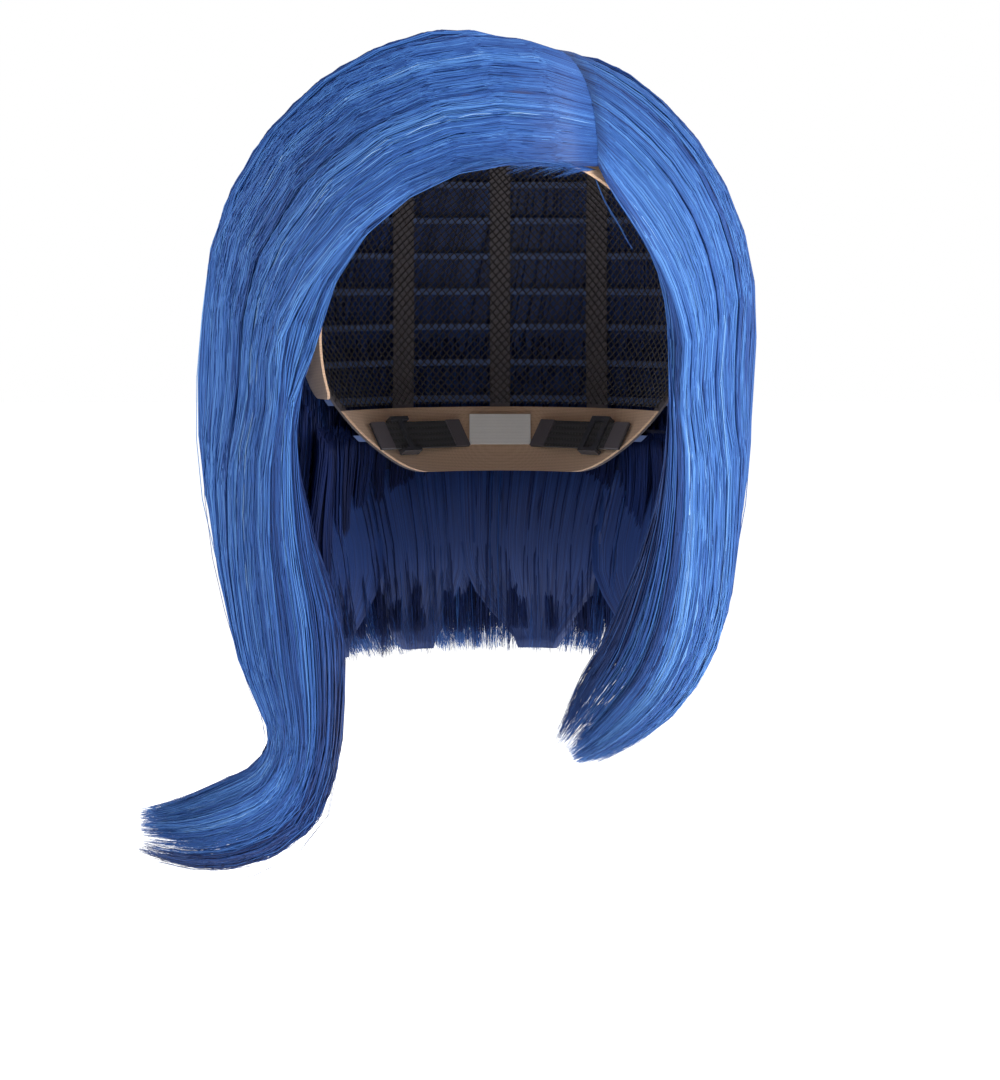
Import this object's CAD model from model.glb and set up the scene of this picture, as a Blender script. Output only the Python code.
"""Looks of a costume wig: a side-parted, uneven bob of blue fibre on a stretch net cap.

The hair is combed in three-sided fibres that follow the same flow as the solid hair sections:
from the parting and the whorl, over the crown, down the sides and out to the tips. Lengths in
the classes are millimetres, in the frame of the solid model, and meshes are written in metres.
The wearer looks along -Y, and +X is the wearer's left.
"""

import logging
import math
from dataclasses import dataclass, field
from enum import Enum
from typing import Sequence

import bmesh
import bpy
import numpy as np
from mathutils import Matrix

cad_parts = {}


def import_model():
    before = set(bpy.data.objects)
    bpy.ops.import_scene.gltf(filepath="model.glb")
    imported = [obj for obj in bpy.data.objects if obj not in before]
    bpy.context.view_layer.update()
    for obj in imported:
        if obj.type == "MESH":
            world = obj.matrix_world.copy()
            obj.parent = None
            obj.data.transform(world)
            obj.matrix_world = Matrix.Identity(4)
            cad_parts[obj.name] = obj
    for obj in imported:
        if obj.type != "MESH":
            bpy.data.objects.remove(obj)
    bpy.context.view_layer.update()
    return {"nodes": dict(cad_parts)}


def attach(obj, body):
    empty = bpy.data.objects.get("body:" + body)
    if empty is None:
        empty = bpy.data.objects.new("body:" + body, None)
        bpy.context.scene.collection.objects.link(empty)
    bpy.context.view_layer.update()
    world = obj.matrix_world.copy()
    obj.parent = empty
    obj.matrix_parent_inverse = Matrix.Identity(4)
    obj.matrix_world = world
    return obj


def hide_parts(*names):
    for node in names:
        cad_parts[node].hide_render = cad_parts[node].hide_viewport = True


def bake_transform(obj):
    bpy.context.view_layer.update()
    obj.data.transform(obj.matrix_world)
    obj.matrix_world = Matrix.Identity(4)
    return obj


Colour = tuple[float, float, float, float]
Point = tuple[float, float, float]
Row = tuple[float, ...]

log = logging.getLogger("wig")
MM = 0.001
SEED = 4127
CROWN_SHARE = 0.97  # of the way from the roots to the outside, that strands reach
ROOT_DEPTH = 0.01  # share of that way where strands start


# ------------------------------------------------------------------ small helpers
def unit(vectors: np.ndarray) -> np.ndarray:
    """Scale vectors to length one.

    Args:
        vectors: Vectors along the last axis.

    Returns:
        The same directions at length one.
    """
    return vectors / np.maximum(np.linalg.norm(vectors, axis=-1, keepdims=True), 1e-9)


def ease(value: np.ndarray) -> np.ndarray:
    """Give the smooth step of a value, held between 0 and 1."""
    held = np.clip(value, 0.0, 1.0)
    return held * held * (3.0 - 2.0 * held)


def through(stations: np.ndarray, places: np.ndarray) -> np.ndarray:
    """Run a smooth line through stations and read it at given places.

    Args:
        stations: Points of every line, (lines, stations, 3).
        places: Where to read each line, in stations from its start, (lines, points).

    Returns:
        Points on the lines, (lines, points, 3).
    """
    last = stations.shape[1] - 1
    first = np.clip(np.floor(places).astype(int), 0, last - 1)
    part = (places - first)[..., None]
    rows = np.arange(stations.shape[0])[:, None]
    before = stations[rows, np.maximum(first - 1, 0)]
    start = stations[rows, first]
    end = stations[rows, first + 1]
    after = stations[rows, np.minimum(first + 2, last)]
    return 0.5 * (
        2.0 * start
        + (end - before) * part
        + (2.0 * before - 5.0 * start + 4.0 * end - after) * part**2
        + (3.0 * start - before - 3.0 * end + after) * part**3
    )


def srgb(red: int, green: int, blue: int) -> Colour:
    """Turn a colour as seen on a screen into the linear colour that a shader takes.

    Args:
        red: Red, 0 to 255.
        green: Green, 0 to 255.
        blue: Blue, 0 to 255.

    Returns:
        Linear red, green, blue and alpha.
    """
    out = []
    for value in (red, green, blue):
        share = value / 255.0
        out.append(share / 12.92 if share <= 0.04045 else ((share + 0.055) / 1.055) ** 2.4)
    return (out[0], out[1], out[2], 1.0)


# ------------------------------------------------------------------ finishes
@dataclass(frozen=True)
class Finish:
    """A surface finish that makes its own material once."""

    name: str
    roughness: float = 0.5

    def start(self) -> tuple[bpy.types.Material, bpy.types.Node, bpy.types.NodeTree]:
        """Make an empty material with its shader.

        Returns:
            The material, its principled shader and its node tree.
        """
        material = bpy.data.materials.new(self.name)
        material.use_nodes = True
        tree = material.node_tree
        shader = tree.nodes["Principled BSDF"]
        shader.inputs["Roughness"].default_value = self.roughness
        return material, shader, tree

    def make(self) -> bpy.types.Material:
        """Give the material, made on the first call."""
        known = bpy.data.materials.get(self.name)
        return known if known else self.build()

    def build(self) -> bpy.types.Material:
        """Build the material's nodes."""
        return self.start()[0]


def ramp(
    tree: bpy.types.NodeTree,
    stops: Sequence[tuple[float, Colour]],
    source: bpy.types.NodeSocket,
) -> bpy.types.NodeSocket:
    """Add a colour ramp.

    Args:
        tree: Node tree to add it to.
        stops: Place and colour of each stop.
        source: Socket that drives it.

    Returns:
        The ramp's colour socket.
    """
    node = tree.nodes.new("ShaderNodeValToRGB")
    elements = node.color_ramp.elements
    while len(elements) < len(stops):
        elements.new(0.5)
    for element, (place, colour) in zip(elements, stops):
        element.position = place
        element.color = colour
    tree.links.new(source, node.inputs["Fac"])
    return node.outputs["Color"]


def bump(
    tree: bpy.types.NodeTree,
    shader: bpy.types.Node,
    height: bpy.types.NodeSocket,
    strength: float,
    distance: float,
) -> None:
    """Raise a surface where a pattern is high.

    Args:
        tree: Node tree of the material.
        shader: Its shader.
        height: Socket of the pattern.
        strength: How much of the height shows, 0 to 1.
        distance: Height of the pattern in metres.
    """
    node = tree.nodes.new("ShaderNodeBump")
    node.inputs["Strength"].default_value = strength
    node.inputs["Distance"].default_value = distance
    tree.links.new(height, node.inputs["Height"])
    tree.links.new(node.outputs["Normal"], shader.inputs["Normal"])


@dataclass(frozen=True)
class FibreFinish(Finish):
    """Shiny heat-set fibre, each strand with its own shade, darker towards the root."""

    roughness: float = 0.48
    gloss: float = 0.32
    stops: tuple[tuple[float, Colour], ...] = (
        (0.00, srgb(16, 35, 86)),
        (0.30, srgb(40, 79, 149)),
        (0.58, srgb(62, 111, 183)),
        (0.84, srgb(97, 149, 212)),
        (1.00, srgb(156, 194, 236)),
    )

    def build(self) -> bpy.types.Material:
        """Build the material's nodes.

        Returns:
            The fibre's material.
        """
        material, shader, tree = self.start()
        shade = tree.nodes.new("ShaderNodeAttribute")
        shade.attribute_name = "shade"
        colour = ramp(tree, self.stops, shade.outputs["Fac"])
        tree.links.new(colour, shader.inputs["Base Color"])
        shader.inputs["Specular IOR Level"].default_value = self.gloss
        return material


@dataclass(frozen=True)
class CombedFinish(Finish):
    """The packed fibre under the loose strands: fine streaks along the flow of the hair."""

    roughness: float = 0.5
    dark: Colour = srgb(18, 32, 80)
    light: Colour = srgb(38, 70, 136)
    streaks_across: float = 260.0
    streaks_along: float = 5.0
    dark_below: float = 0.32
    light_above: float = 0.68

    def build(self) -> bpy.types.Material:
        """Build the material's nodes.

        Returns:
            The material of the packed fibre.
        """
        material, shader, tree = self.start()
        grain_map = tree.nodes.new("ShaderNodeUVMap")
        grain_map.uv_map = "flow"
        spread = tree.nodes.new("ShaderNodeMapping")
        spread.inputs["Scale"].default_value = (self.streaks_across, self.streaks_along, 1.0)
        tree.links.new(grain_map.outputs["UV"], spread.inputs["Vector"])
        streaks = tree.nodes.new("ShaderNodeTexNoise")
        streaks.inputs["Scale"].default_value = 1.0
        streaks.inputs["Detail"].default_value = 5.0
        tree.links.new(spread.outputs["Vector"], streaks.inputs["Vector"])
        stops = ((self.dark_below, self.dark), (self.light_above, self.light))
        tree.links.new(ramp(tree, stops, streaks.outputs["Fac"]), shader.inputs["Base Color"])
        bump(tree, shader, streaks.outputs["Fac"], 0.6, 0.0006)
        return material


@dataclass(frozen=True)
class ClothFinish(Finish):
    """Knitted or woven cloth: two colours of thread crossing, with a raised weave."""

    roughness: float = 0.85
    thread: Colour = srgb(205, 170, 140)
    gap: Colour = srgb(160, 122, 96)
    threads_per_mm: float = 1.6
    rib: float = 1.0
    wave_scale: float = 314.0
    gap_below: float = 0.15
    thread_above: float = 0.75
    sheen: float = 0.25

    def build(self) -> bpy.types.Material:
        """Build the material's nodes.

        Returns:
            The cloth's material.
        """
        material, shader, tree = self.start()
        place = tree.nodes.new("ShaderNodeTexCoord")
        heights = []
        for axis in ("X", "Y", "Z"):
            wave = tree.nodes.new("ShaderNodeTexWave")
            wave.bands_direction = axis
            rib = self.rib if axis == "Z" else 1.0
            wave.inputs["Scale"].default_value = self.threads_per_mm * self.wave_scale * rib
            wave.inputs["Distortion"].default_value = 0.6
            tree.links.new(place.outputs["Object"], wave.inputs["Vector"])
            heights.append(wave.outputs["Fac"])
        across = tree.nodes.new("ShaderNodeMath")
        across.operation = "MULTIPLY"
        tree.links.new(heights[0], across.inputs[0])
        tree.links.new(heights[1], across.inputs[1])
        weave = tree.nodes.new("ShaderNodeMath")
        weave.operation = "MAXIMUM"
        tree.links.new(across.outputs[0], weave.inputs[0])
        tree.links.new(heights[2], weave.inputs[1])
        stops = ((self.gap_below, self.gap), (self.thread_above, self.thread))
        tree.links.new(ramp(tree, stops, weave.outputs[0]), shader.inputs["Base Color"])
        bump(tree, shader, weave.outputs[0], 0.5, 0.0002)
        shader.inputs["Sheen Weight"].default_value = self.sheen
        return material


@dataclass(frozen=True)
class MouldedFinish(Finish):
    """Moulded plastic with a faint cloudiness and fine surface grain."""

    roughness: float = 0.3
    colour: Colour = srgb(24, 24, 28)
    worn: Colour = srgb(46, 46, 52)
    cloud_scale: float = 420.0
    colour_below: float = 0.35
    worn_above: float = 0.75

    def build(self) -> bpy.types.Material:
        """Build the material's nodes.

        Returns:
            The plastic's material.
        """
        material, shader, tree = self.start()
        place = tree.nodes.new("ShaderNodeTexCoord")
        cloud = tree.nodes.new("ShaderNodeTexNoise")
        cloud.inputs["Scale"].default_value = self.cloud_scale
        cloud.inputs["Detail"].default_value = 6.0
        tree.links.new(place.outputs["Object"], cloud.inputs["Vector"])
        stops = ((self.colour_below, self.colour), (self.worn_above, self.worn))
        tree.links.new(ramp(tree, stops, cloud.outputs["Fac"]), shader.inputs["Base Color"])
        bump(tree, shader, cloud.outputs["Fac"], 0.15, 0.0001)
        return material


class Finishes(Enum):
    """Every finish on the wig."""

    FIBRE = FibreFinish("blue_fibre")
    UNDER_FIBRE = FibreFinish(
        "shaded_blue_fibre",
        0.5,
        0.18,
        (
            (0.00, srgb(13, 25, 66)),
            (0.40, srgb(20, 38, 88)),
            (0.80, srgb(32, 58, 122)),
            (1.00, srgb(52, 88, 158)),
        ),
    )
    COMBED = CombedFinish("packed_fibre")
    UNDER_COMBED = CombedFinish("shaded_packed_fibre", 0.6, srgb(8, 15, 42), srgb(20, 37, 82))
    NET = ClothFinish("net_thread", 0.7, srgb(46, 40, 44), srgb(22, 18, 22), 2.4)
    LINING = ClothFinish("flesh_lining", 0.85, srgb(222, 188, 158), srgb(186, 148, 120), 1.8)
    TAPE = ClothFinish("cap_tape", 0.8, srgb(52, 46, 50), srgb(20, 17, 20), 1.4)
    WEFT = ClothFinish("weft_tape", 0.7, srgb(52, 84, 150), srgb(18, 30, 70), 1.8)
    ELASTIC = ClothFinish("ribbed_elastic", 0.75, srgb(40, 38, 42), srgb(12, 11, 13), 0.9, 0.5)
    LABEL = ClothFinish("label_satin", 0.45, srgb(244, 242, 238), srgb(222, 219, 214), 3.0)
    SLIDER = MouldedFinish("slider_plastic")
    STAY = MouldedFinish("stay_plastic", 0.5, srgb(216, 214, 208), srgb(232, 230, 226))


# ------------------------------------------------------------------ the space the hair fills
@dataclass(frozen=True)
class HairSpace:
    """The space that the hair fills round the head, as smooth formulas."""

    root: tuple[float, float, float] = (82.0, 102.0, 92.0)
    crown_middle: tuple[float, float, float] = (-8.0, 6.0, -10.0)
    crown: tuple[float, float, float] = (104.0, 118.0, 108.0)
    fall_heights: tuple[float, ...] = (-10.0, -45.0, -90.0, -125.0, -150.0)
    fall_right: tuple[float, ...] = (-112.0, -115.0, -109.0, -100.0, -88.0)
    fall_left: tuple[float, ...] = (96.0, 95.0, 91.0, 83.0, 73.0)
    fall_front: tuple[float, ...] = (-112.0, -108.0, -98.0, -88.0, -78.0)
    fall_back: tuple[float, ...] = (124.0, 124.0, 115.0, 102.0, 88.0)
    hollow_heights: tuple[float, ...] = (-10.0, -30.0, -45.0, -60.0, -110.0, -160.0)
    hollow_side: tuple[float, ...] = (81.5, 78.0, 76.5, 75.5, 68.0, 64.0)
    hollow_front: tuple[float, ...] = (-101.5, -97.5, -97.0, -96.0, -88.0, -86.0)
    hollow_back: tuple[float, ...] = (101.5, 97.5, 91.0, 81.0, 64.0, 60.0)

    def over_crown(self, way: np.ndarray, depth: np.ndarray) -> np.ndarray:
        """Find points over the crown.

        Args:
            way: Directions from the crown's middle, (..., 3), length one.
            depth: 0 at the hair's roots to 1 at the outside, (...).

        Returns:
            The points, (..., 3).
        """
        middle = np.array(self.crown_middle)
        root = np.array(self.root)
        outside = 1.0 / np.sqrt(((way / np.array(self.crown)) ** 2).sum(-1))
        square = ((way / root) ** 2).sum(-1)
        cross = (middle * way / root**2).sum(-1)
        rest = ((middle / root) ** 2).sum() - 1.0
        inside = (-cross + np.sqrt(cross**2 - square * rest)) / square
        reach = inside + depth * (outside - inside)
        return middle + reach[..., None] * way

    def down_fall(self, height: np.ndarray, turn: np.ndarray, depth: np.ndarray) -> np.ndarray:
        """Find points where the hair hangs below the headband.

        Args:
            height: Height of each point, (...).
            turn: Direction round the head in radians, from +X towards +Y, (...).
            depth: 0 at the inside to 1 at the outside, (...).

        Returns:
            The points, (..., 3).
        """

        def level(values: Row, heights: Row) -> np.ndarray:
            """Read a value at each height, smoothly.

            Args:
                values: The value at each given height.
                heights: The given heights.

            Returns:
                The value at every point's height.
            """
            fit = np.polyfit(heights, values, len(heights) - 2)
            return np.polyval(fit, np.clip(height, min(heights), max(heights)))

        sides = (self.fall_right, self.fall_left, self.fall_front, self.fall_back)
        right, left, front, back = (level(values, self.fall_heights) for values in sides)
        middle_x, middle_y = (right + left) / 2.0, (front + back) / 2.0
        half_x, half_y = (left - right) / 2.0, (back - front) / 2.0
        cos, sin = np.cos(turn), np.sin(turn)
        outside = 1.0 / np.sqrt((cos / half_x) ** 2 + (sin / half_y) ** 2)
        walls = (self.hollow_side, self.hollow_front, self.hollow_back)
        side, low, high = (level(values, self.hollow_heights) for values in walls)
        length, offset_y = (high - low) / 2.0, middle_y - (high + low) / 2.0
        square = (cos / side) ** 2 + (sin / length) ** 2
        cross = middle_x * cos / side**2 + offset_y * sin / length**2
        rest = (middle_x / side) ** 2 + (offset_y / length) ** 2 - 1.0
        inside = (-cross + np.sqrt(np.maximum(cross**2 - square * rest, 0.0))) / square
        reach = inside + depth * (outside - inside)
        return np.stack([middle_x + reach * cos, middle_y + reach * sin, height + 0.0 * reach], -1)


SPACE = HairSpace()


# ------------------------------------------------------------------ flows: where strands run
class Flow:
    """A stretch of hair: strands run through stations from their roots to their tips."""

    def stations(self, across: np.ndarray, up: np.ndarray) -> np.ndarray:
        """Find the stations of strands.

        Args:
            across: Place across the stretch, -1 to 1, (lines, stations) or (lines, 1).
            up: Place through its depth, -1 inside to 1 outside, in the same form.

        Returns:
            Points, (lines, stations, 3).
        """
        raise NotImplementedError

    @property
    def count(self) -> int:
        """Number of stations."""
        raise NotImplementedError


@dataclass(frozen=True)
class SweepFlow(Flow):
    """Hair from the parting over the crown, past the face and down a free front lock."""

    face_edge: tuple[Point, ...]
    side_edge: tuple[Point, ...]
    lock: tuple[Row, ...]
    outward: float
    skew: Row
    lock_rear: float = -14.0
    lock_half_depth: float = 31.0
    edge_depth: Row = (0.3, 0.3, 0.32, 0.45, 0.65, 0.85, 1.0)
    edge_width: float = 0.6
    gather: Row = (0.76, 0.92, 0.98, 1.0)
    lift: Row = (0.12, 0.42, 0.68, 0.87, 0.97, 1.0)

    @property
    def count(self) -> int:
        """Number of stations."""
        return len(self.face_edge) + len(self.lock)

    def along(self, values: Row) -> np.ndarray:
        """Spread a row of values over the crown's stations, holding the last."""
        return np.interp(np.arange(len(self.face_edge)), np.arange(len(values)), values)

    def stations(self, across: np.ndarray, up: np.ndarray) -> np.ndarray:
        """Find the stations of strands, over the crown and down the lock.

        Args:
            across: -1 on the face side to 1 at the side of the head.
            up: -1 inside to 1 outside.

        Returns:
            Points, (lines, stations, 3).
        """
        across = np.broadcast_to(across, (across.shape[0], self.count))
        up = np.broadcast_to(up, (up.shape[0], self.count))
        middle = np.array(SPACE.crown_middle)
        face = unit(np.array(self.face_edge) - middle)
        side = unit(np.array(self.side_edge) - middle)
        over = len(self.face_edge)
        beside = across[:, :over]
        share = ((beside + 1.0) / 2.0 * self.along(self.gather))[..., None]
        way = unit(face[None] * (1.0 - share) + side[None] * share)
        rim = np.sqrt(np.maximum(1.0 - beside**2, 0.015))
        spread = np.clip(up[:, :over] / rim, -1.0, 1.0)
        edge = self.along(self.edge_depth)[None]
        depth = (spread + 1.0) / 2.0 * (edge + (1.0 - edge) * ease((beside + 1.0) / self.edge_width))
        lifted = depth * self.along(self.lift)[None]
        crown = SPACE.over_crown(way, lifted * CROWN_SHARE + ROOT_DEPTH)
        lower = []
        for number, (x, z, half_width, depth_share, lean) in enumerate(self.lock):
            turn = math.radians(lean)
            wide = np.array([math.cos(turn), 0.0, self.outward * math.sin(turn)])
            wide = wide * self.outward * half_width
            deep = np.array([0.0, self.lock_half_depth * depth_share, 0.0])
            centre = np.array([x, self.lock_rear - self.lock_half_depth, z])
            place = number + over
            tilt = self.skew[number] if number < len(self.skew) else 0.0
            deep = deep + np.array([self.outward * tilt, 0.0, 0.0])
            lower.append(centre + up[:, place, None] * wide + across[:, place, None] * deep)
        return np.concatenate([crown, np.stack(lower, 1)], 1)


@dataclass(frozen=True)
class FanFlow(Flow):
    """Hair that fans out from the whorl and hangs to the hem of the bob."""

    first_turn: float
    last_turn: float
    whorl: Point = (15.0, 10.0, 92.0)
    whorl_ring: float = 7.0
    swirl: float = 28.0
    sink: float = 0.0
    settle: float = 35.0
    reach: float = 110.0
    rise: float = 0.18
    root_lift: float = 0.12
    over: Row = (0.0, 0.06, 0.16, 0.3, 0.46, 0.64, 0.82, 1.0)
    heights: Row = (-40.0, -70.0, -98.0, -120.0, -134.0, -142.0)
    tuck: Row = (0.0, 0.0, 0.03, 0.1, 0.2, 0.34)
    least_depth: float = 0.02

    @property
    def count(self) -> int:
        """Number of stations."""
        return len(self.over) + len(self.heights)

    def stations(self, across: np.ndarray, up: np.ndarray) -> np.ndarray:
        """Find the stations of strands, over the crown and down to the hem.

        Args:
            across: -1 at the first turn to 1 at the last.
            up: -1 inside to 1 outside.

        Returns:
            Points, (lines, stations, 3).
        """
        across = np.broadcast_to(across, (across.shape[0], self.count))
        up = np.broadcast_to(up, (up.shape[0], self.count))
        turn = np.radians(self.first_turn + (across + 1.0) / 2.0 * (self.last_turn - self.first_turn))
        depth = (up + 1.0) / 2.0
        middle = np.array(SPACE.crown_middle)
        points = []
        for number, share in enumerate(self.over):
            start_turn = turn[:, number] + math.radians(self.swirl)
            ring = np.stack([np.cos(start_turn), np.sin(start_turn), 0.0 * start_turn], -1)
            start = unit(np.array(self.whorl) + self.whorl_ring * ring - middle)
            end_turn = turn[:, number]
            land = np.stack([np.cos(end_turn), np.sin(end_turn), 0.0 * end_turn], -1)
            angle = np.arccos(np.clip((start * land).sum(-1), -1.0, 1.0))[:, None]
            way = (np.sin((1.0 - share) * angle) * start + np.sin(share * angle) * land) / np.sin(angle)
            lift = float(ease(np.array(share / self.rise + self.root_lift)))
            sunk = depth[:, number] * (1.0 - self.sink * share / self.over[-1])
            points.append(SPACE.over_crown(unit(way), sunk * lift * CROWN_SHARE + ROOT_DEPTH))
        slip = (start * np.stack([land[:, 1], -land[:, 0], land[:, 2]], -1)).sum(-1) / start[:, 2]
        for number, height in enumerate(self.heights):
            fallen = SPACE.crown_middle[2] - height
            slid = slip * self.settle * (1.0 - math.exp(-fallen / self.settle)) / self.reach
            place = number + len(self.over)
            tucked = np.clip(depth[:, place] * CROWN_SHARE - self.tuck[number], self.least_depth, 1.0)
            level = np.full(tucked.shape, height)
            points.append(SPACE.down_fall(level, turn[:, place] + slid, tucked))
        return np.stack(points, 1)


@dataclass(frozen=True)
class UnderFlow(Flow):
    """Short hair from the nape's weft rows, hanging inside the bob."""

    first_turn: float
    last_turn: float
    steps: Row = (0.0, 0.12, 0.3, 0.5, 0.7, 0.86, 1.0)
    top: float = -18.0
    low_row: float = -58.0
    hem: float = -135.0
    hem_slant: float = 6.0
    least_depth: float = 0.02
    depth_reach: float = 0.62
    spread_speed: float = 1.6
    rooted_share: float = 0.9
    rooted: bool = True

    @property
    def count(self) -> int:
        """Number of stations."""
        return len(self.steps)

    def stations(self, across: np.ndarray, up: np.ndarray) -> np.ndarray:
        """Find the stations of strands, from a weft row down to the inner hem.

        Args:
            across: -1 at the first turn to 1 at the last.
            up: -1 for the inner, lowest row to 1 for the outer, highest row.

        Returns:
            Points, (lines, stations, 3).
        """
        across = np.broadcast_to(across, (across.shape[0], self.count))
        up = np.broadcast_to(up, (up.shape[0], self.count))
        turn = np.radians(self.first_turn + (across + 1.0) / 2.0 * (self.last_turn - self.first_turn))
        share = (up + 1.0) / 2.0
        points = []
        for number, step in enumerate(self.steps):
            row = self.low_row + share[:, number] * (self.top - self.low_row)
            height = row + step * (self.hem + self.hem_slant * share[:, number] - row)
            spread = float(ease(np.array(step * self.spread_speed)))
            depth = self.least_depth + share[:, number] * self.depth_reach * spread
            fall = SPACE.down_fall(height, turn[:, number], depth)
            rise = np.sqrt(1.0 - (row / SPACE.root[2]) ** 2)
            root_x = SPACE.root[0] * rise * np.cos(turn[:, number])
            root_y = SPACE.root[1] * rise * np.sin(turn[:, number])
            root = np.stack([root_x, root_y, height], -1)
            near = 1.0 - float(ease(np.array(step / self.rooted_share))) if self.rooted else 0.0
            points.append(root * near + fall * (1.0 - near))
        return np.stack(points, 1)


# ------------------------------------------------------------------ combing strands along a flow
@dataclass(frozen=True)
class Comb:
    """How a stretch is combed: how many strands, how they bunch, stray, end and are shaded.

    Thickness, wander and stray are millimetres, and the rest are counts, shares or shades.
    """

    strands: int
    points: int
    bunches: int
    thickness: float = 0.24
    grip: tuple[float, float, float] = (0.15, 0.45, 0.7)
    wander: float = 1.1
    stray: float = 0.28
    flyaways: float = 0.012
    shortest: float = 0.93
    outside: float = 0.62
    inside: float = 0.0
    edge: float = 0.1
    edge_turn: float = 0.22
    rim: float = 0.28
    up_weight: float = 0.35
    up_pull: float = 0.6
    firmest: float = 0.92
    layered: float = 0.12
    layer_cut: float = 0.16
    bunch_cut: float = 0.55
    own_cut: float = 0.45
    inner_shade: float = 0.5
    tone: float = 0.0
    bunch_tone: float = 0.1
    strand_tone: float = 0.13
    root_stagger: float = 0.01
    root_shade: float = 0.16
    taper_from: float = 0.72


def scatter(how: Comb, dice: np.random.Generator, slab: bool) -> tuple[np.ndarray, np.ndarray]:
    """Scatter strands over the section of a stretch.

    Args:
        how: How they are combed.
        dice: Random numbers.
        slab: Whether the section is wide and thin, and not a lock's.

    Returns:
        Place across and place through the depth of each strand, -1 to 1.
    """
    total = how.strands
    angle = dice.uniform(-math.pi, math.pi, total)
    angle = np.where(dice.random(total) < how.outside, np.abs(angle), angle)
    reach = 1.0 - how.rim * dice.random(total) ** 1.8
    edge = dice.random(total) < how.edge
    angle = np.where(edge, math.pi * (1.0 - how.edge_turn * dice.random(total)), angle)
    if not slab:
        return reach * np.cos(angle), reach * np.sin(angle)
    across = dice.uniform(-1.0, 1.0, total)
    up = 1.0 - 2.0 * dice.random(total) ** 1.7
    up = np.where(dice.random(total) < how.outside, 1.0 - 0.5 * dice.random(total) ** 1.4, up)
    up = np.where(dice.random(total) < how.inside, 0.35 * dice.random(total) ** 1.4 - 1.0, up)
    return across, up


def bunch_places(how: Comb, dice: np.random.Generator, slab: bool) -> np.ndarray:
    """Place the middles of the bunches that strands gather to.

    Args:
        how: How the stretch is combed.
        dice: Random numbers.
        slab: Whether the section is wide and thin, and not a lock's.

    Returns:
        Places as (across, up), (bunches, 2).
    """
    angle = dice.uniform(-math.pi, math.pi, how.bunches)
    reach = np.sqrt(dice.uniform(0.5, 1.0, how.bunches))
    if not slab:
        return np.stack([reach * np.cos(angle), reach * np.sin(angle)], -1)
    return np.stack([dice.uniform(-1, 1, how.bunches), dice.uniform(-0.6, 1.0, how.bunches)], -1)


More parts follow.
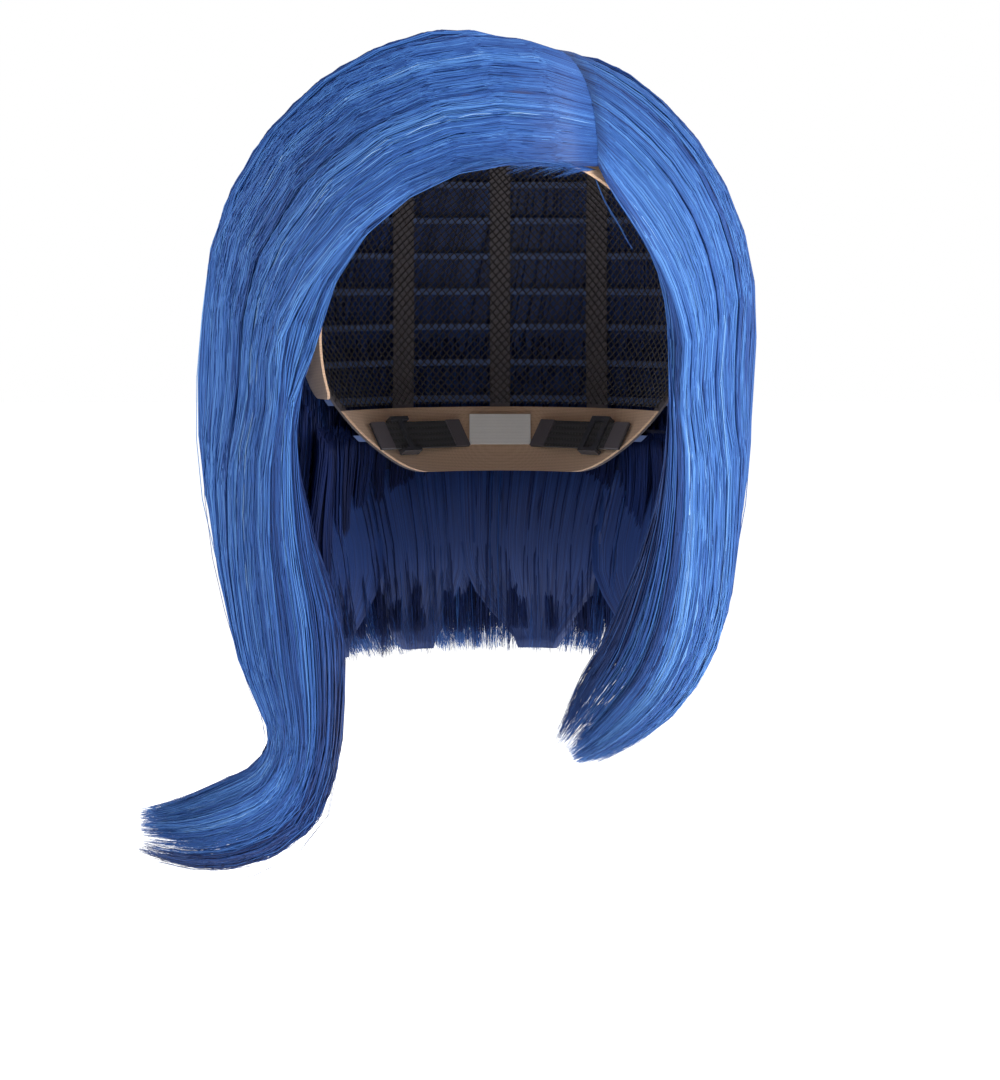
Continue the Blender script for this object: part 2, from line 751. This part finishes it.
def comb(flow: Flow, how: Comb, seed: int) -> tuple[np.ndarray, np.ndarray, np.ndarray]:
    """Comb strands along a flow.

    Args:
        flow: Where the strands run.
        how: How they are combed.
        seed: Start of the random numbers.

    Returns:
        Points (strands, points, 3), half thicknesses (strands, points) and shades (strands, points).
    """
    dice = np.random.default_rng(SEED + seed)
    total = how.strands
    slab = not isinstance(flow, SweepFlow)
    across, up = scatter(how, dice, slab)
    bunch = bunch_places(how, dice, slab)
    beside, above = across[:, None] - bunch[None, :, 0], up[:, None] - bunch[None, :, 1]
    owner = (beside**2 + how.up_weight * above**2).argmin(1)
    grip = np.interp(np.linspace(0.0, 1.0, flow.count), (0.0, 0.5, 1.0), how.grip)[None]
    strength = dice.uniform(0.55, 1.15, how.bunches)[owner][:, None]
    pull = np.clip(grip * strength, 0.0, how.firmest)
    station_across = across[:, None] + pull * (bunch[owner, 0] - across)[:, None]
    station_up = up[:, None] + how.up_pull * pull * (bunch[owner, 1] - up)[:, None]
    stations = flow.stations(station_across, station_up)

    bunch_cut = dice.random(how.bunches)[owner]
    own_cut = how.own_cut * dice.random(total) ** 0.7
    cut = how.shortest + (1.0 - how.shortest) * (how.bunch_cut * bunch_cut + own_cut)
    layered = dice.random(total) < how.layered
    cut = np.where(layered, cut - how.layer_cut * dice.random(total), cut)
    start = how.root_stagger * dice.random(total)
    places = start[:, None] + (cut - start)[:, None] * np.linspace(0.0, 1.0, how.points)[None]
    lines = through(stations, places * (flow.count - 1))

    tangent = unit(np.gradient(lines, axis=1))
    outward = unit(lines - np.array(SPACE.crown_middle) * np.array([1.0, 1.0, 0.0]) - [0.0, 0.0, -30.0])
    outward = unit(outward - (outward * tangent).sum(-1, keepdims=True) * tangent)
    sideways = np.cross(tangent, outward)
    t = np.linspace(0.0, 1.0, how.points)[None]

    def waves(count: int, low: float, high: float) -> np.ndarray:
        """Draw slow waves along strands.

        Args:
            count: Strands to draw them for.
            low: Fewest waves in a strand's length.
            high: Most waves in it.

        Returns:
            Values from about -1 to 1, (count, points).
        """
        phase = dice.uniform(0.0, 2.0 * math.pi, (2, count, 1))
        speed = dice.uniform(low, high, (2, count, 1))
        first, second = np.sin(2 * math.pi * speed * t + phase)
        return (first + 0.6 * second) / 1.6

    settle = ease(t * 6.0)
    bunch_side = waves(how.bunches, 0.3, 1.1)[owner] * how.wander
    bunch_rise = waves(how.bunches, 0.3, 1.1)[owner] * how.wander * 0.6 - 0.3 * how.wander
    own_side = waves(total, 0.4, 1.8) * how.stray * (1.0 + 3.5 * t**4)
    own_rise = waves(total, 0.4, 1.6) * how.stray * (1.0 + 2.5 * t**4)
    wild = (dice.random(total) < how.flyaways)[:, None]
    own_side = np.where(wild, own_side * 9.0 * t, own_side)
    own_rise = np.where(wild, np.abs(own_rise) * 7.0 * t, own_rise)
    lines = lines + sideways * ((bunch_side + own_side) * settle)[..., None]
    lines = lines + outward * ((bunch_rise + own_rise) * settle)[..., None]

    taper = np.clip(1.15 - 0.9 * ease((t - how.taper_from) / (1.0 - how.taper_from)), 0.25, 1.0)
    width = how.thickness * dice.uniform(0.7, 1.25, (total, 1)) * taper
    width = np.where(wild, width * 0.55, width)
    shade = 0.5 + how.tone + dice.normal(0.0, how.bunch_tone, how.bunches)[owner][:, None]
    shade = shade + dice.normal(0.0, how.strand_tone, (total, 1))
    shade = shade + 0.08 * waves(how.bunches, 0.5, 1.6)[owner]
    shade = shade - how.root_shade * (1.0 - ease(t * 7.0)) + 0.05 * t
    inner = ((1.0 - up) / 2.0)[:, None]
    return lines, width, np.clip(shade - how.inner_shade * inner**1.5, 0.0, 1.0)


def write_mesh(name: str, points: np.ndarray, loops: np.ndarray, sizes: np.ndarray) -> bpy.types.Object:
    """Write a mesh object from plain arrays.

    Args:
        name: Name of the piece.
        points: Corners in millimetres, (corners, 3).
        loops: Corner numbers of every face, one after another.
        sizes: Number of corners of each face.

    Returns:
        The new object, linked to the scene.
    """
    mesh = bpy.data.meshes.new(name)
    mesh.vertices.add(len(points))
    mesh.vertices.foreach_set("co", (points * MM).astype(np.float32).ravel())
    mesh.loops.add(len(loops))
    mesh.loops.foreach_set("vertex_index", loops.astype(np.int32))
    mesh.polygons.add(len(sizes))
    starts = np.concatenate([[0], np.cumsum(sizes)[:-1]]).astype(np.int32)
    mesh.polygons.foreach_set("loop_start", starts)
    mesh.polygons.foreach_set("use_smooth", np.ones(len(sizes), dtype=bool))
    mesh.update(calc_edges=True)
    mesh.validate()
    piece = bpy.data.objects.new(name, mesh)
    bpy.context.scene.collection.objects.link(piece)
    return piece


def strand_piece(name: str, lines: np.ndarray, width: np.ndarray, shade: np.ndarray) -> bpy.types.Object:
    """Build closed three-sided strands.

    Args:
        name: Name of the piece.
        lines: Middle lines, (strands, points, 3), in millimetres.
        width: Half thickness at each point, (strands, points).
        shade: Shade at each point, 0 dark to 1 light.

    Returns:
        The new piece.
    """
    total, count, _ = lines.shape
    tangent = unit(np.gradient(lines, axis=1))
    rough_out = lines - np.array([-4.0, 0.0, -30.0])
    normal = unit(rough_out - (rough_out * tangent).sum(-1, keepdims=True) * tangent)
    side = np.cross(tangent, normal)
    corners = []
    for degrees in (90.0, 210.0, 330.0):
        turn = math.radians(degrees)
        corners.append(lines + width[..., None] * (math.cos(turn) * normal + math.sin(turn) * side))
    points = np.stack(corners, 2).reshape(-1, 3)
    base = (np.arange(total) * count * 3)[:, None, None]
    ring = (np.arange(count - 1) * 3)[None, :, None]
    corner = np.arange(3)[None, None, :]
    following = (corner + 1) % 3
    low, low_next = base + ring + corner, base + ring + following
    quads = np.stack([low, low_next, low_next + 3, low + 3], -1).reshape(-1)
    first = np.arange(total) * count * 3
    last = first + (count - 1) * 3
    starts = np.stack([first + 2, first + 1, first], -1).reshape(-1)
    ends = np.stack([last, last + 1, last + 2], -1).reshape(-1)
    sizes = np.concatenate([np.full(len(quads) // 4, 4), np.full(2 * total, 3)])
    piece = write_mesh(name, points, np.concatenate([quads, starts, ends]), sizes)
    values = np.repeat(shade.reshape(-1), 3).astype(np.float32)
    layer = piece.data.attributes.new("shade", "FLOAT", "POINT")
    layer.data.foreach_set("value", values)
    return piece


def packed_piece(
    name: str,
    flow: Flow,
    ring: Sequence[tuple[float, float]],
    rows: int,
    end: float,
) -> bpy.types.Object:
    """Build the packed fibre inside a stretch, as one closed body along its flow.

    Args:
        name: Name of the piece.
        flow: Where the hair runs.
        ring: Places round the body's section, (across, up), in order.
        rows: Rows along the flow.
        end: Share of the flow's length where the body ends.

    Returns:
        The new piece, with a UV map along the flow.
    """
    places = np.array(ring)
    stations = flow.stations(places[:, :1], places[:, 1:])
    along = np.linspace(0.0, end, rows) * (flow.count - 1)
    grid = through(stations, np.broadcast_to(along, (len(ring), rows)))
    middle = grid.mean(0, keepdims=True)
    squeeze = 1.0 - 0.75 * ease((np.linspace(0.0, 1.0, rows) - 0.8) / 0.2)  # the last fifth draws in
    grid = middle + (grid - middle) * squeeze[None, :, None]
    columns = len(ring)
    points = grid.transpose(1, 0, 2).reshape(-1, 3)
    quads = []
    for row in range(rows - 1):
        for column in range(columns):
            after = (column + 1) % columns
            low = row * columns
            quads.append((low + column, low + after, low + columns + after, low + columns + column))
    loops = np.array(quads).reshape(-1)
    sizes = np.concatenate([np.full(len(quads), 4), [columns, columns]])
    start_cap = np.arange(columns)[::-1]
    end_cap = (rows - 1) * columns + np.arange(columns)
    piece = write_mesh(name, points, np.concatenate([loops, start_cap, end_cap]), sizes)
    mesh = piece.data
    shape = bmesh.new()
    shape.from_mesh(mesh)
    bmesh.ops.recalc_face_normals(shape, faces=shape.faces)
    flow_map = shape.loops.layers.uv.new("flow")
    for face in shape.faces:
        numbers = [corner.vert.index for corner in face.loops]
        wraps = max(n % columns for n in numbers) - min(n % columns for n in numbers) > 1
        for corner in face.loops:
            column, row = corner.vert.index % columns, corner.vert.index // columns
            u = 1.0 if wraps and column == 0 else column / columns
            corner[flow_map].uv = (u, row / (rows - 1))
    shape.to_mesh(mesh)
    shape.free()
    return piece


def dress(piece: bpy.types.Object, finish: Finishes) -> bpy.types.Object:
    """Give a piece its finish and its material slot of the record.

    Args:
        piece: The piece.
        finish: Its finish.

    Returns:
        The same piece.
    """
    piece.data.materials.clear()
    piece.data.materials.append(finish.value.make())
    return piece


def tell(piece: bpy.types.Object) -> None:
    """Report a finished piece."""
    triangles = sum(len(face.vertices) - 2 for face in piece.data.polygons)
    log.info("%s: %d triangles", piece.name, triangles)


# ------------------------------------------------------------------ the hair
def disc_ring(steps: int, wide: float, deep: float) -> list[tuple[float, float]]:
    """Give places round the section of a lock.

    Args:
        steps: Places round it.
        wide: Reach across the lock, 0 to 1.
        deep: Reach through its depth, 0 to 1.

    Returns:
        Places as (across, up).
    """
    turns = [2.0 * math.pi * step / steps for step in range(steps)]
    return [(wide * math.cos(turn), deep * math.sin(turn)) for turn in turns]


def slab_ring(steps: int, inside: float, outside: float) -> list[tuple[float, float]]:
    """Give places round the section of a wide, thin stretch.

    Args:
        steps: Steps along each wall.
        inside: Depth of the inner wall, -1 to 1.
        outside: Depth of the outer wall, -1 to 1.

    Returns:
        Places as (across, up).
    """
    out = [(-1.0 + 2.0 * step / steps, outside) for step in range(steps + 1)]
    back = [(1.0 - 2.0 * step / steps, inside) for step in range(steps + 1)]
    return out + back


@dataclass
class FrontHair:
    """The swept hair on one side of the parting, with its free front lock."""

    side: str
    flow: SweepFlow
    combs: tuple[Comb, ...]
    lock_body: str
    nodes: tuple[str, ...]
    pivot_x: float
    pivot_y: float = -45.0
    bend_top: float = -44.0
    bend_low: float = -82.0
    core_steps: int = 40
    core_rows: int = 46
    core_wide: float = 0.74
    core_deep: float = 0.5
    core_end: float = 0.86
    seed: int = 0

    def build(self) -> None:
        """Comb the strands, pack the core and let both bend at the lock's joint."""
        pieces = []
        for number, how in enumerate(self.combs):
            strands = comb(self.flow, how, self.seed + number)
            piece = strand_piece(f"{self.side}_sweep_hair_{number + 1}", *strands)
            pieces.append(dress(piece, Finishes.FIBRE))
        ring = disc_ring(self.core_steps, self.core_wide, self.core_deep)
        core = packed_piece(f"{self.side}_sweep_core", self.flow, ring, self.core_rows, self.core_end)
        pieces.append(dress(core, Finishes.COMBED))
        for piece in pieces:
            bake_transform(piece)
            tell(piece)
        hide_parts(*self.nodes)


@dataclass
class HairlineWisps:
    """Fine short hairs that stray from the hair's edge over the forehead."""

    side: str
    edge: tuple[Point, ...]
    last_place: float = 2.6
    count: int = 240
    points: int = 8
    shortest: float = 6.0
    longest: float = 21.0
    thickness: float = 0.13
    drop: float = 0.3
    root_offset: Point = (0.0, -0.4, 0.8)
    down: Point = (0.0, 0.0, -1.0)
    backward: Point = (0.0, 1.0, 0.0)
    seed: int = 60

    def build(self) -> None:
        """Lay the hairs from the edge, along it and a little down."""
        dice = np.random.default_rng(SEED + self.seed)
        place = np.sort(self.last_place * dice.random(self.count) ** 1.3)
        edge = np.array(self.edge)[None]
        root = through(edge, place[None])[0]
        run = unit(through(edge, place[None] + 0.1)[0] - root)
        length = dice.uniform(self.shortest, self.longest, self.count)[:, None, None]
        fall = dice.uniform(-0.1, self.drop, self.count)[:, None, None]
        aside = dice.uniform(-0.12, 0.05, self.count)[:, None, None]
        t = np.linspace(0.0, 1.0, self.points)[None, :, None]
        lines = root[:, None] + np.array(self.root_offset) + run[:, None] * length * t
        lines = lines + length * (t**1.6 * fall * np.array(self.down) + t * aside * np.array(self.backward))
        width = np.broadcast_to(self.thickness * (1.1 - 0.8 * t[..., 0]), lines.shape[:2])
        shade = np.broadcast_to(dice.uniform(0.2, 0.7, (self.count, 1)), lines.shape[:2])
        wisps = strand_piece(f"{self.side}_hairline_wisps", lines, width, shade)
        dress(wisps, Finishes.FIBRE)
        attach(wisps, "cap")
        tell(wisps)


@dataclass
class HangingHair:
    """A stretch of hair that fans from the whorl, or hangs from the nape's rows."""

    name: str
    flow: Flow
    how: Comb
    node: str
    finish: Finishes = Finishes.FIBRE
    slot: str = "hair_fibre"
    core_flow: Flow | None = None
    core_steps: int = 20
    core_rows: int = 30
    core_inside: float = -0.9
    core_outside: float = 0.45
    core_end: float = 0.97
    seed: int = 0

    def build(self) -> None:
        """Comb the strands and pack the core under them."""
        strands = strand_piece(f"{self.name}_hair", *comb(self.flow, self.how, self.seed))
        dress(strands, self.finish)
        ring = slab_ring(self.core_steps, self.core_inside, self.core_outside)
        flow = self.core_flow or self.flow
        core = packed_piece(f"{self.name}_core", flow, ring, self.core_rows, self.core_end)
        shaded = self.slot == "under_hair_fibre"
        dress(core, Finishes.UNDER_COMBED if shaded else Finishes.COMBED)
        for piece in (strands, core):
            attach(piece, "cap")
            tell(piece)
        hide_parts(self.node)


@dataclass
class Hair:
    """All the hair of the wig.

    A lock's rows are its sections from top to tip: x, z, half width, share of the depth and lean
    in degrees. An edge's points are where strands run along the face, or along the side hair.
    """

    long_lock: tuple[Row, ...] = (
        (-91.0, -38.0, 9.5, 0.98, 0.0),
        (-91.0, -60.0, 13.0, 1.00, 0.0),
        (-86.5, -90.0, 16.5, 1.00, -8.0),
        (-79.5, -116.0, 19.5, 0.95, -12.0),
        (-75.5, -136.0, 18.5, 0.85, -9.0),
        (-72.0, -154.0, 14.5, 0.72, -2.0),
        (-72.0, -169.0, 13.0, 0.60, 18.0),
        (-79.0, -184.0, 15.5, 0.54, 42.0),
        (-92.0, -192.5, 16.5, 0.48, 64.0),
        (-107.0, -197.0, 14.5, 0.40, 80.0),
        (-120.0, -198.0, 11.0, 0.30, 88.0),
        (-133.0, -197.0, 7.5, 0.20, 94.0),
    )
    long_skew: Row = (15.5, 13.0, 9.0, 5.5, 3.0, 1.0)
    short_lock: tuple[Row, ...] = (
        (75.5, -38.0, 8.0, 0.98, 0.0),
        (75.0, -60.0, 11.5, 1.00, 0.0),
        (70.5, -90.0, 15.0, 1.00, -8.0),
        (63.5, -116.0, 18.5, 0.92, -14.0),
        (55.5, -134.0, 18.5, 0.80, -22.0),
        (45.5, -147.0, 17.0, 0.62, -34.0),
        (34.0, -159.0, 12.0, 0.42, -44.0),
        (24.0, -168.0, 6.5, 0.22, -48.0),
    )
    short_skew: Row = (13.0, 11.0, 8.0, 5.0, 3.0, 1.0)
    right_face_edge: tuple[Point, ...] = (
        (34.6, -73.6, 42.8),
        (18.0, -87.6, 44.8),
        (-4.0, -92.0, 46.0),
        (-26.0, -90.0, 38.0),
        (-46.0, -82.0, 21.0),
        (-61.0, -74.0, 0.0),
        (-71.0, -72.0, -18.0),
    )
    right_side_edge: tuple[Point, ...] = (
        (9.6, 34.0, 88.0),
        (0.0, 16.0, 96.0),
        (-22.0, 2.0, 94.0),
        (-50.0, -3.0, 82.0),
        (-76.0, -7.0, 60.0),
        (-97.0, -10.0, 28.0),
        (-109.0, -12.0, -4.0),
    )
    left_face_edge: tuple[Point, ...] = (
        (32.6, -74.1, 42.8),
        (36.0, -74.9, 34.3),
        (40.8, -73.5, 25.5),
        (46.7, -71.7, 15.0),
        (53.0, -70.0, 3.0),
        (58.0, -70.0, -9.0),
        (61.5, -70.0, -20.0),
    )
    left_side_edge: tuple[Point, ...] = (
        (7.4, 34.0, 88.0),
        (25.0, 14.0, 93.0),
        (44.0, 3.0, 85.0),
        (60.0, -1.0, 73.0),
        (75.0, -5.0, 55.0),
        (86.0, -9.0, 32.0),
        (92.0, -11.0, 6.0),
    )

    turns: dict[str, tuple[float, float]] = field(
        default_factory=lambda: {
            "left_side": (-19.0, 45.0),
            "back_left": (41.0, 93.0),
            "back_right": (87.0, 135.0),
            "right_side": (129.0, 199.0),
        }
    )
    under_turns: dict[str, tuple[float, float]] = field(
        default_factory=lambda: {
            "nape_under_left": (-8.0, 66.0),
            "nape_under_centre": (62.0, 118.0),
            "nape_under_right": (114.0, 188.0),
        }
    )
    crown_turns: tuple[float, float] = (-20.0, 215.0)

    def build(self) -> None:
        """Build the front, the sides, the back, the crown and the under-hair."""
        self.build_front()
        self.build_bob()
        self.build_under()

    def build_front(self) -> None:
        """Build the swept hair on both sides of the parting, and the fine hairs at its edge."""
        long_flow = SweepFlow(
            self.right_face_edge, self.right_side_edge, self.long_lock, -1.0, self.long_skew
        )
        how = Comb(1500, 22, 105, thickness=0.21, wander=1.1, shortest=0.87)
        nodes = ("right_sweep", "long_lock")
        FrontHair("right", long_flow, (how, how, how), "long_lock", nodes, -90.0, seed=10).build()
        HairlineWisps("right", self.right_face_edge).build()
        HairlineWisps(
            "left", self.left_face_edge, last_place=2.4, count=120, longest=10.0, drop=0.04, seed=61
        ).build()
        short_flow = SweepFlow(
            self.left_face_edge, self.left_side_edge, self.short_lock, 1.0, self.short_skew
        )
        how = Comb(1640, 19, 90, thickness=0.21, wander=1.0, tone=0.05, shortest=0.89)
        nodes = ("left_sweep", "short_lock")
        FrontHair("left", short_flow, (how, how), "short_lock", nodes, 71.0, seed=20).build()

    def build_bob(self) -> None:
        """Build the sides, the back and the fan over the crown."""
        how = Comb(1600, 17, 150, thickness=0.27, wander=0.6, grip=(0.03, 0.12, 0.32), inner_shade=0.65)
        for number, (name, turns) in enumerate(self.turns.items()):
            HangingHair(name, FanFlow(*turns), how, name, seed=30 + number).build()
        how = Comb(520, 9, 60, thickness=0.2, wander=0.4, shortest=0.7, flyaways=0.0)
        over = (0.0, 0.05, 0.12, 0.2, 0.3, 0.42)
        fan = FanFlow(*self.crown_turns, sink=0.9, over=over, heights=(), tuck=())
        HangingHair("crown_fan", fan, how, "crown_fan", core_end=0.6, seed=40).build()

    def build_under(self) -> None:
        """Build the short hair from the nape's rows."""
        how = Comb(1060, 13, 70, thickness=0.32, wander=0.9, outside=0.1, inside=0.7, inner_shade=0.25)
        for number, (name, turns) in enumerate(self.under_turns.items()):
            HangingHair(
                name,
                UnderFlow(*turns),
                how,
                name,
                Finishes.UNDER_FIBRE,
                "under_hair_fibre",
                UnderFlow(*turns, top=-52.0, low_row=-62.0, rooted=False),
                core_inside=-0.35,
                core_outside=0.75,
                core_end=0.9,
                seed=50 + number,
            ).build()


# ------------------------------------------------------------------ the cap
@dataclass
class CrownNet:
    """The stretch net over the crown: two families of threads that cross as they spiral out."""

    half_width: float = 78.4
    half_length: float = 98.4
    rise: float = 88.4
    whorl: tuple[float, float] = (15.0, 10.0)
    ring_radius: float = 22.0
    hole_radius: float = 4.0
    threads: int = 150
    inner_threads: int = 44
    step: float = 3.6
    inner_step: float = 2.4
    lowest: float = 2.16
    centring: float = 1.9
    points: int = 26
    thickness: float = 0.3
    radius: float = 88.0
    ring_overlap: float = 0.05
    flat: tuple[float, float] = (0.26, 0.24)
    flat_area: float = 0.048
    part_foot: tuple[float, float] = (34.0, -71.5)
    part_half_width: float = 5.6
    front_low: tuple[float, float] = (-24.5, -8.0)
    front_high: tuple[float, float] = (-56.0, 70.0)
    over_ear: float = -8.5
    nape_seam: float = -46.5
    ear_rear: float = 21.6
    ear_slope: float = 0.379

    def covered(self, points: np.ndarray) -> np.ndarray:
        """Tell which points lie on the net's cloth.

        Args:
            points: Points on the dome, (..., 3).

        Returns:
            True where the net is.
        """
        x, y, z = points[..., 0], points[..., 1], points[..., 2]
        front = np.interp(z, *zip(self.front_low[::-1], self.front_high[::-1]))
        behind_ear = y > self.ear_rear + (self.over_ear - z) * self.ear_slope
        low = (z > self.over_ear) | (behind_ear & (z > self.nape_seam))
        start = np.array(self.whorl)
        run = np.array(self.part_foot) - start
        run = run / np.hypot(*run)
        ahead = (x - start[0]) * run[0] + (y - start[1]) * run[1]
        aside = np.abs((x - start[0]) * run[1] - (y - start[1]) * run[0])
        return (y > front) & low & ~((ahead > 0.0) & (aside < self.part_half_width))

    def spiral(self, count: int, inner: float, outer: float, step: float) -> list[np.ndarray]:
        """Lay threads that spiral both ways, cut where the net ends.

        Args:
            count: Threads each way.
            inner: Distance from the whorl where they start.
            outer: Angle from the top where they end, in radians.
            step: Distance between a thread's points.

        Returns:
            Points of each run of thread.
        """
        runs = []
        top = np.array([self.whorl[0] / self.half_width, self.whorl[1] / self.half_length])
        start = inner / self.radius
        length = (outer - start) * self.radius * 1.42  # a spiral is that much longer than its drop
        angle = np.linspace(start, outer, max(4, int(length / step)))
        turned = np.log(np.tan(angle / 2.0)) - math.log(math.tan(start / 2.0))
        for way in (-1.0, 1.0):
            for number in range(count):
                turn = 2.0 * math.pi * number / count + way * turned
                slide = np.clip(1.0 - angle / self.centring, 0.0, 1.0)[:, None]
                flat = np.stack([np.cos(turn), np.sin(turn)], -1) * np.sin(angle)[:, None] + slide * top
                lie = np.concatenate([flat, np.cos(angle)[:, None]], 1)
                points = unit(lie) * np.array([self.half_width, self.half_length, self.rise])
                kept = self.covered(points)
                edges = np.flatnonzero(np.diff(np.concatenate([[0], kept.astype(int), [0]])))
                for first, last in zip(edges[::2], edges[1::2]):
                    if last - first > 3:
                        runs.append(points[first:last])
        return runs

    def build(self) -> None:
        """Lay the threads as one piece of stretched net."""
        runs = self.spiral(self.threads, self.ring_radius, self.lowest, self.step)
        overlap = self.ring_radius / self.radius + self.ring_overlap
        runs += self.spiral(self.inner_threads, self.hole_radius, overlap, self.inner_step)
        places = [np.linspace(0, len(run) - 1, self.points)[None] for run in runs]
        lines = np.stack([through(run[None], place)[0] for run, place in zip(runs, places)])
        width = np.full(lines.shape[:2], self.thickness)
        net = strand_piece("crown_net_threads", lines, width, width * 0.0 + 0.5)
        dress(net, Finishes.NET)
        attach(net, "cap")
        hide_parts("crown_net")
        tell(net)


@dataclass(frozen=True)
class CutCloth:
    """A sheet of the cap's cloth as it was cut: metres, square metres, and how it is held."""

    flat: tuple[float, float]
    area: float
    held: str
    rests_on: str


@dataclass
class Cap:
    """The cap's cloth, tapes and fittings, which keep their solid shapes."""

    finishes: dict[str, Finishes] = field(
        default_factory=lambda: {
            "crown_net": Finishes.NET,
            "skin_part": Finishes.LINING,
            "front_band": Finishes.LINING,
            "nape_band": Finishes.LINING,
            "ear_tab_left": Finishes.LINING,
            "ear_tab_right": Finishes.LINING,
            "ear_tab_stay_left": Finishes.STAY,
            "ear_tab_stay_right": Finishes.STAY,
            "care_label": Finishes.LABEL,
            "adjuster_slider_left": Finishes.SLIDER,
            "adjuster_slider_right": Finishes.SLIDER,
            "adjuster_strap_left": Finishes.ELASTIC,
            "adjuster_strap_right": Finishes.ELASTIC,
        }
    )

    cloth: dict[str, CutCloth] = field(
        default_factory=lambda: {
            "front_band": CutCloth((0.385, 0.021), 0.0074, "hung", "crown_net"),
            "nape_band": CutCloth((0.16, 0.035), 0.0042, "hung", "crown_net"),
            "ear_tab_left": CutCloth((0.046, 0.032), 0.00104, "hung", "front_band"),
            "ear_tab_right": CutCloth((0.046, 0.032), 0.00104, "hung", "front_band"),
            "skin_part": CutCloth((0.112, 0.0135), 0.00144, "stretched", "front_band"),
            "care_label": CutCloth((0.024, 0.014), 0.000336, "hung", "nape_band"),
        }
    )

    def dress(self, nodes: dict[str, bpy.types.Object]) -> None:
        """Give every kept node its finish, and say which are sheets of cloth.

        Args:
            nodes: The solid model's objects by name.
        """
        for name, piece in nodes.items():
            finish = self.finishes.get(name, Finishes.TAPE)
            if "weft" in name:
                finish = Finishes.WEFT
            if not piece.data.materials:
                piece.data.materials.append(finish.value.make())
            for number in range(len(piece.material_slots)):
                piece.material_slots[number].material = finish.value.make()
            log.info("%s keeps its shape", name)


# ------------------------------------------------------------------ the studio
@dataclass(frozen=True)
class Lamp:
    """A soft square lamp that faces the wig: its place and side in metres, its power in watts."""

    name: str
    place: Point
    side: float
    power: float

    def build(self, aim: np.ndarray) -> None:
        """Hang the lamp.

        Args:
            aim: The point that it faces, in metres.
        """
        data = bpy.data.lights.new(self.name, "AREA")
        data.size = self.side
        data.energy = self.power
        light = bpy.data.objects.new(self.name, data)
        bpy.context.scene.collection.objects.link(light)
        light.location = self.place
        way = aim - np.array(self.place)
        rise = math.atan2(way[2], math.hypot(way[0], way[1]))
        turn = math.atan2(way[1], way[0]) - math.pi / 2
        light.rotation_euler = (math.pi / 2 + rise, 0.0, turn)


@dataclass
class Studio:
    """Floor, lights, sky and camera, in metres and degrees."""

    aim: Point = (0.0, 0.0, -0.093)
    lamp_aim: Point = (0.0, 0.0, -0.033)
    distance: float = 1.5
    azimuth: float = 0.0
    elevation: float = 4.0
    view_height: float = 0.405
    sensor_height: float = 36.0
    floor_height: float = -0.36
    floor_radius: float = 9.0
    floor_colour: Colour = (0.97, 0.97, 0.97, 1.0)
    floor_roughness: float = 0.9
    floor_glow: float = 0.55
    white: Colour = (1.0, 1.0, 1.0, 1.0)
    sky_light: float = 0.55
    sky_seen: float = 1.0
    lamps: tuple[Lamp, ...] = (
        Lamp("key_lamp", (1.25, -0.9, 0.5), 0.8, 24.5),
        Lamp("fill_lamp", (-1.3, -1.1, 0.4), 0.9, 10.0),
        Lamp("top_lamp", (0.4, -0.2, 1.5), 0.9, 4.0),
        Lamp("back_lamp", (-0.5, 1.5, 0.8), 1.1, 8.0),
    )

    def build(self) -> None:
        """Build the studio."""
        self.lay_floor()
        self.light_sky()
        for lamp in self.lamps:
            lamp.build(np.array(self.lamp_aim))
        self.place_camera()
        bpy.context.scene.view_settings.view_transform = "Standard"

    def lay_floor(self) -> None:
        """Lay a plain pale floor."""
        bpy.ops.object.select_all(action="DESELECT")
        bpy.ops.mesh.primitive_circle_add(
            vertices=96, radius=self.floor_radius, fill_type="NGON", location=(0, 0, self.floor_height)
        )
        floor = bpy.context.object
        floor.name = "studio_floor"
        paint = bpy.data.materials.new("floor_paint")
        paint.use_nodes = True
        sockets = paint.node_tree.nodes["Principled BSDF"].inputs
        sockets["Base Color"].default_value = self.floor_colour
        sockets["Roughness"].default_value = self.floor_roughness
        sockets["Emission Color"].default_value = self.white
        sockets["Emission Strength"].default_value = self.floor_glow
        floor.data.materials.append(paint)

    def light_sky(self) -> None:
        """Surround the wig with even light, and with plain white where the camera sees past it."""
        world = bpy.data.worlds.new("studio_air")
        world.use_nodes = True
        tree = world.node_tree
        sky = tree.nodes["Background"]
        sky.inputs["Color"].default_value = self.white
        seen = tree.nodes.new("ShaderNodeLightPath")
        strength = tree.nodes.new("ShaderNodeMapRange")
        strength.inputs["To Min"].default_value = self.sky_light
        strength.inputs["To Max"].default_value = self.sky_seen
        tree.links.new(seen.outputs["Is Camera Ray"], strength.inputs["Value"])
        tree.links.new(strength.outputs["Result"], sky.inputs["Strength"])
        bpy.context.scene.world = world

    def place_camera(self) -> None:
        """Place the camera in front of the wig, a little above its middle."""
        lens = bpy.data.cameras.new("studio_camera")
        camera = bpy.data.objects.new("studio_camera", lens)
        bpy.context.scene.collection.objects.link(camera)
        turn, rise = math.radians(self.azimuth), math.radians(self.elevation)
        offset = (
            self.distance * math.sin(turn) * math.cos(rise),
            -self.distance * math.cos(turn) * math.cos(rise),
            self.distance * math.sin(rise),
        )
        camera.location = tuple(a + b for a, b in zip(self.aim, offset))
        camera.rotation_euler = (math.pi / 2 - rise, 0.0, turn)
        lens.sensor_fit = "VERTICAL"
        lens.sensor_height = self.sensor_height
        lens.lens = self.sensor_height * self.distance / self.view_height
        bpy.context.scene.camera = camera


def main() -> None:
    """Build the wig's looks and the studio."""
    logging.basicConfig(level=logging.INFO, format="%(name)s %(message)s")
    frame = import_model()
    Cap().dress(frame["nodes"])
    CrownNet().build()
    Hair().build()
    Studio().build()


if __name__ == "__main__":
    main()
